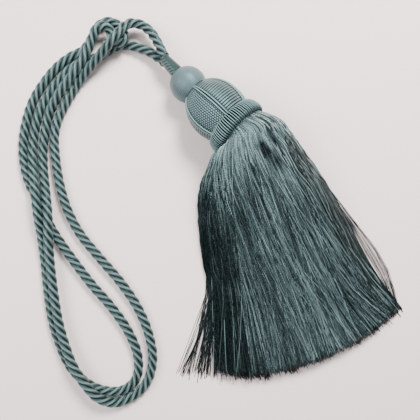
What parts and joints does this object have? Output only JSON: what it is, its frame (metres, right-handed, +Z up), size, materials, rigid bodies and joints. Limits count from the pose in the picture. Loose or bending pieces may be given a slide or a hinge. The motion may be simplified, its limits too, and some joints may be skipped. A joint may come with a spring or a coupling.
{
  "type": "curtain tieback tassel",
  "caption": "Rayon curtain tieback tassel: a fringe skirt under a ruff and wound balls, on a long doubled loop of twisted cord, laid flat.",
  "frame": {"origin": "middle of the tassel's own footprint on the surface that it lies on, without the cord", "axes": "+Z up from the surface, +Y towards the neck's side of the tassel, with the fringe towards -Y, and +X away from the cord loop"},
  "size_m": [0.2718, 0.2772, 0.0449],
  "materials": {
    "cord_teal": "satin twisted rayon, bright on the backs of the strands and dark in the grooves",
    "whipping_sage": "satin rayon thread whipped in fine slanting rows",
    "ball_blue_grey": "smooth satin thread wound side by side",
    "ball_sage": "satin cord in rows with raised double ribs",
    "ruff_sage": "bright satin gimp loops with dark gaps",
    "fringe_teal": "fine glossy rayon threads with cut ends"
  },
  "bodies": {
    "root": {"cord": "cord_teal", "neck_whipping": "whipping_sage", "small_ball": "ball_blue_grey", "large_ball": "ball_sage", "ruff": "ruff_sage", "fringe_skirt": "fringe_teal"}
  },
  "joints": []
}
